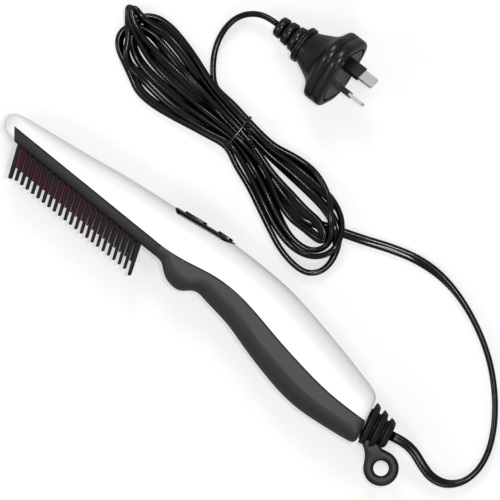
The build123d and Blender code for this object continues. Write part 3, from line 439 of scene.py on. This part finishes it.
panel = {
    "middle": 13.45,
    "fill": 0.0125,            # share by which the strip grows to fill its slot's clearance
}
topShell = smoothCopy("topShell", "top_shell", whiteAbs)
bottomShell = smoothCopy("bottomShell", "bottom_shell", charcoalAbs)
controlPanel = smoothCopy("controlPanel", "control_panel", glossBlack)
for vertex in controlPanel.data.vertices:
    vertex.co.z += (vertex.co.z - panel["middle"] * mm) * panel["fill"]
powerButton = smoothCopy("powerButton", "power_button", glossBlack, "power_button_body")
temperatureButton = smoothCopy("temperatureButton", "temperature_button", glossBlack, "temperature_button_body")
print("casing ready")

# Comb: the casing's teeth drawn slimmer about their own raked middle lines

comb = {
    "tipX": -117.206,          # tip of the first tooth's middle line
    "tipY": -20.956,
    "rootY": -5.35,
    "pitch": 3.63,
    "rake": math.radians(21),
    "middle": 13.45,
    "rows": (5.0, 8.2),        # from the middle to the inside and the outside of a row
    "halfWide": 1.6,
    "slimmed": 0.88,
}
combGuard = smoothCopy("combGuard", "comb_guard", blackResin)
for vertex in combGuard.data.vertices:
    x, y, z = vertex.co / mm
    across = abs(z - comb["middle"])
    if y > comb["rootY"] or not comb["rows"][0] < across < comb["rows"][1]:
        continue
    lean = (y - comb["tipY"]) * math.tan(comb["rake"])
    number = round((x - comb["tipX"] + lean) / comb["pitch"])
    middle = comb["tipX"] + number * comb["pitch"] - lean
    if abs(x - middle) < comb["halfWide"]:
        vertex.co.x = (middle + (x - middle) * comb["slimmed"]) * mm
print("comb ready")

# Cord boot: turned ribs with soft edges, and the hanging ring that grows out of them

boot = {
    "start": Vector((106.694, -4.256, 13.45)) * mm,
    "angle": math.radians(13.5),
    "profile": [               # along the swivel's axis and off it
        (6.4, 0.05), (6.4, 3.85), (6.4, 3.95), (0.5, 3.95), (0.42, 4.0), (0.42, 8.2), (0.6, 8.65), (1.2, 8.7),
        (1.35, 9.2), (1.4, 11.9), (1.9, 12.4), (2.9, 12.0), (4.2, 11.1), (4.7, 10.4), (4.75, 8.4), (5.2, 7.75),
        (6.0, 7.75), (6.4, 8.4), (6.45, 10.2), (6.9, 10.7), (7.9, 10.3), (9.4, 9.3), (9.8, 8.7), (9.85, 7.1),
        (10.3, 6.45), (11.1, 6.45), (11.5, 7.0), (11.55, 8.1), (12.0, 8.6), (13.0, 8.2), (14.5, 7.3),
        (15.0, 6.6), (15.35, 5.4), (15.4, 3.9), (15.2, 3.0), (15.2, 0.05),
    ],
    "trim": 10.2,              # the ribs are cut back from here on the ring's side
    "trimmed": 0.2,            # share that is left past the trim
    "sides": 72,
    "profilePieces": 4,
    "hole": (18.0, -17.6),
    "holeRadius": 4.0,
    "ringRadius": 9.3,
    "halfThick": 2.1,
    "edge": 1.9,
    "edgeSteps": 6,
    "edgePieces": 3,
    "ringSpan": (-165, 96, 9),  # degrees round the hole that the web leaves free
    "web": [(16.0, -8.2), (13.6, -8.2), (11.8, -6.6), (7.0, -5.4), (2.4, -6.4), (2.6, -9.8), (5.2, -11.6),
            (7.2, -14.4), (8.3, -17.0)],
}
bootOut = Vector((math.cos(boot["angle"]), math.sin(boot["angle"]), 0))
bootSide = Vector((-math.sin(boot["angle"]), math.cos(boot["angle"]), 0))
bootRings = []
profile = alongSpline([(along, radius, 0) for along, radius in boot["profile"]], boot["profilePieces"])
for along, radius, _ in profile:
    centre = boot["start"] + bootOut * along * mm
    ring = []
    for step in range(boot["sides"]):
        angle = 2 * math.pi * step / boot["sides"]
        off = radius * math.cos(angle)
        if off < -boot["trim"]:
            off = -boot["trim"] + (off + boot["trim"]) * boot["trimmed"]
        ring.append(centre + (bootSide * off + Vector((0, 0, radius * math.sin(angle)))) * mm)
    bootRings.append(ring)
bootBody = newObject("bootBody", ringMesh("bootBody", bootRings), softBlack, "boot_body", "cord_boot")

# The ring's outer edge, closed by the web that joins it to the ribs
rim = [(boot["hole"][0] + boot["ringRadius"] * math.cos(math.radians(turn)),
        boot["hole"][1] + boot["ringRadius"] * math.sin(math.radians(turn))) for turn in range(*boot["ringSpan"])]
rim += boot["web"]
edgeLine = alongSpline([(x, y, 0) for x, y in rim + rim[:1]], boot["edgePieces"])[:-1]
loopRings = []
for place in edgeLine:
    outward = Vector((place.x - boot["hole"][0], place.y - boot["hole"][1], 0))
    reach = outward.length
    outward.normalize()
    ring = []
    for quarter, (far, high) in enumerate([(1, 1), (0, 1), (0, -1), (1, -1)]):
        middle = reach - boot["edge"] if far else boot["holeRadius"] + boot["edge"]
        for step in range(boot["edgeSteps"] + 1):
            angle = math.radians(90 * quarter + 90 * step / boot["edgeSteps"])
            along = middle + boot["edge"] * math.cos(angle)
            lift = high * (boot["halfThick"] - boot["edge"]) + boot["edge"] * math.sin(angle)
            flat = Vector((boot["hole"][0], boot["hole"][1], 0)) + outward * along
            ring.append(boot["start"] + (bootOut * flat.x + bootSide * flat.y + Vector((0, 0, lift))) * mm)
    loopRings.append(ring)
hangingLoop = newObject("hangingLoop", ringMesh("hangingLoop", loopRings, closeUp=True), softBlack,
                        "boot_body", "cord_boot")
print("boot ready")

# Tie: a thin strip round the waist of the hank, its ends twisted together

tie = {
    "at": -39.6,
    "halfWide": 0.7,
    "thick": 0.7,
    "strip": [
        (60.6, 1.6), (60.4, 4.6), (62.6, 8.4), (65.0, 10.0), (71.0, 10.2), (77.6, 10.0), (80.4, 8.4),
        (82.0, 4.8), (82.0, 1.6), (80.6, 0.4), (71.0, 0.4), (62.0, 0.4),
    ],
    "twist": [
        (-39.6, 79.2, 10.3), (-38.2, 78.0, 10.9), (-35.2, 75.4, 10.9), (-31.0, 72.0, 10.6), (-26.6, 69.4, 10.2),
        (-22.6, 68.0, 9.6), (-19.4, 66.8, 9.0),
    ],
    "pieces": 4,
    "twistPieces": 8,
    "strand": 0.55,            # radius of one wire, and of its turn round the other
    "pitch": 3.6,
    "section": [(-1, -0.3), (-1, 0.3), (-0.7, 0.5), (0.7, 0.5), (1, 0.3), (1, -0.3), (0.7, -0.5), (-0.7, -0.5)],
}
stripLine = alongSpline([(0, y * mm, z * mm) for y, z in tie["strip"] + tie["strip"][:2]], tie["pieces"])
stripLine = stripLine[:-tie["pieces"]]
stripRings = []
for index, place in enumerate(stripLine):
    ahead = stripLine[(index + 1) % len(stripLine)] - stripLine[index - 1]
    outward = Vector((0, ahead.z, -ahead.y)).normalized()
    ring = []
    for wide, deep in tie["section"]:
        side = Vector(((tie["at"] + wide * tie["halfWide"]) * mm, 0, 0))
        ring.append(place + side + outward * deep * tie["thick"] * mm)
    stripRings.append(ring)
tieStrip = newObject("tieStrip", ringMesh("tieStrip", stripRings, closeUp=True), tieBlack, "handle", "cord_tie")
twistLine = alongSpline([tuple(value * mm for value in place) for place in tie["twist"]], tie["twistPieces"])
for strand in (0, 1):
    travelled = 0
    strandRings = []
    for index, place in enumerate(twistLine):
        before, after = twistLine[max(index - 1, 0)], twistLine[min(index + 1, len(twistLine) - 1)]
        if index:
            travelled += (place - before).length / mm
        ahead = (after - before).normalized()
        side = ahead.cross(Vector((0, 0, 1))).normalized()
        up = side.cross(ahead)
        swing = 2 * math.pi * travelled / tie["pitch"] + math.pi * strand
        middle = place + (side * math.cos(swing) + up * math.sin(swing)) * tie["strand"] * mm
        strandRings.append([middle + (side * math.cos(turn) + up * math.sin(turn)) * tie["strand"] * mm
                            for turn in (math.radians(45 * step) for step in range(8))])
    wire = newObject("tieTwist" + "AB"[strand], ringMesh("tieTwist", strandRings), tieBlack, "handle", "cord_tie")
print("tie ready")

# Plug: body lofted from the rim through a slim waist to the collar and the ribbed relief

plug = {
    "face": Vector((-15.719, 128.948, 21.241)) * mm,
    "forward": Vector((0.97015, 0.01693, 0.24192)),
    "roll": math.radians(30),
    "sections": [              # depth from the face, half width, half height and corner
        (0.0, 14.6, 11.6, 7.5), (-0.9, 14.8, 11.8, 7.7), (-0.9, 15.8, 12.8, 8.7), (0.0, 16.0, 13.0, 8.9),
        (0.0, 17.6, 14.6, 10.3), (-0.35, 18.7, 15.7, 11.3), (-1.1, 19.3, 16.3, 11.8), (-2.4, 19.45, 16.45, 12.0),
        (-5.2, 19.45, 16.45, 12.0), (-5.6, 18.9, 15.9, 11.5), (-6.0, 19.45, 16.45, 12.0),
        (-9.4, 19.4, 16.4, 12.0), (-10.4, 18.8, 15.8, 11.5), (-11.3, 17.4, 14.7, 11.3), (-12.4, 15.6, 13.4, 10.9),
        (-14.0, 14.0, 12.2, 10.4), (-16.0, 12.8, 11.3, 10.0), (-18.2, 11.8, 10.6, 9.6), (-20.5, 10.7, 9.9, 9.2),
        (-23.0, 9.6, 9.3, 8.9), (-25.0, 8.9, 8.9, 8.6), (-25.1, 9.7, 9.7, 9.6), (-25.5, 10.15, 10.15, 10.1),
        (-26.3, 10.15, 10.15, 10.1), (-26.65, 9.6, 9.6, 9.5), (-27.0, 10.15, 10.15, 10.1),
        (-27.7, 10.15, 10.15, 10.1), (-28.1, 9.6, 9.6, 9.5), (-28.3, 7.0, 7.0, 6.9),
    ],
    "reliefFront": 28.2,
    "reliefEnd": 44.2,
    "reliefTip": 3.2,
    "segments": 3,
    "segmentRadius": 7.3,      # each next one is smaller by the taper
    "segmentTaper": 0.7,
    "segment": [(0.7, 1.6), (0.9, 0.4), (1.3, 0.0), (2.8, 0.15), (4.4, 0.35), (4.8, 0.8), (4.9, 1.6)],
    "softened": 0.05,          # flat left between the corners of a round section
    "lip": 0.1,
    "lean": math.radians(1),
    "cornerSteps": 16,
    "crispFrom": math.radians(60),
}
plugAcross = Vector((-math.sin(plug["lean"]), math.cos(plug["lean"]), 0))
plugUp = plug["forward"].cross(plugAcross)
plugX = plugAcross * math.cos(plug["roll"]) + plugUp * math.sin(plug["roll"])
plugY = plug["forward"].cross(plugX)


def roundedRing(depth, halfWide, halfHigh, corner):
    points = []
    for quarter, (side, top) in enumerate([(1, 1), (-1, 1), (-1, -1), (1, -1)]):
        for step in range(plug["cornerSteps"] + 1):
            angle = math.radians(90 * quarter + 90 * step / plug["cornerSteps"])
            x = side * (halfWide - corner) + corner * math.cos(angle)
            y = top * (halfHigh - corner) + corner * math.sin(angle)
            points.append(plug["face"] + (plugX * x + plugY * y + plug["forward"] * depth) * mm)
    return points


sections = list(plug["sections"])
pitch = (plug["reliefEnd"] - plug["reliefFront"]) / plug["segments"]
for number in range(plug["segments"]):
    front = plug["reliefFront"] + number * pitch
    for depth, inset in plug["segment"]:
        radius = plug["segmentRadius"] - plug["segmentTaper"] * number - inset
        sections.append((-front - depth, radius, radius, radius - plug["softened"]))
sections.append((plug["lip"] - plug["reliefEnd"], plug["reliefTip"], plug["reliefTip"],
                 plug["reliefTip"] - plug["softened"]))
plugRings = [roundedRing(*section) for section in sections]
plugBody = newObject("plugBody", ringMesh("plugBody", plugRings), plugPvc, "handle", "plug_body")
plugBody.data.set_sharp_from_angle(angle=plug["crispFrom"])
print("plug ready")
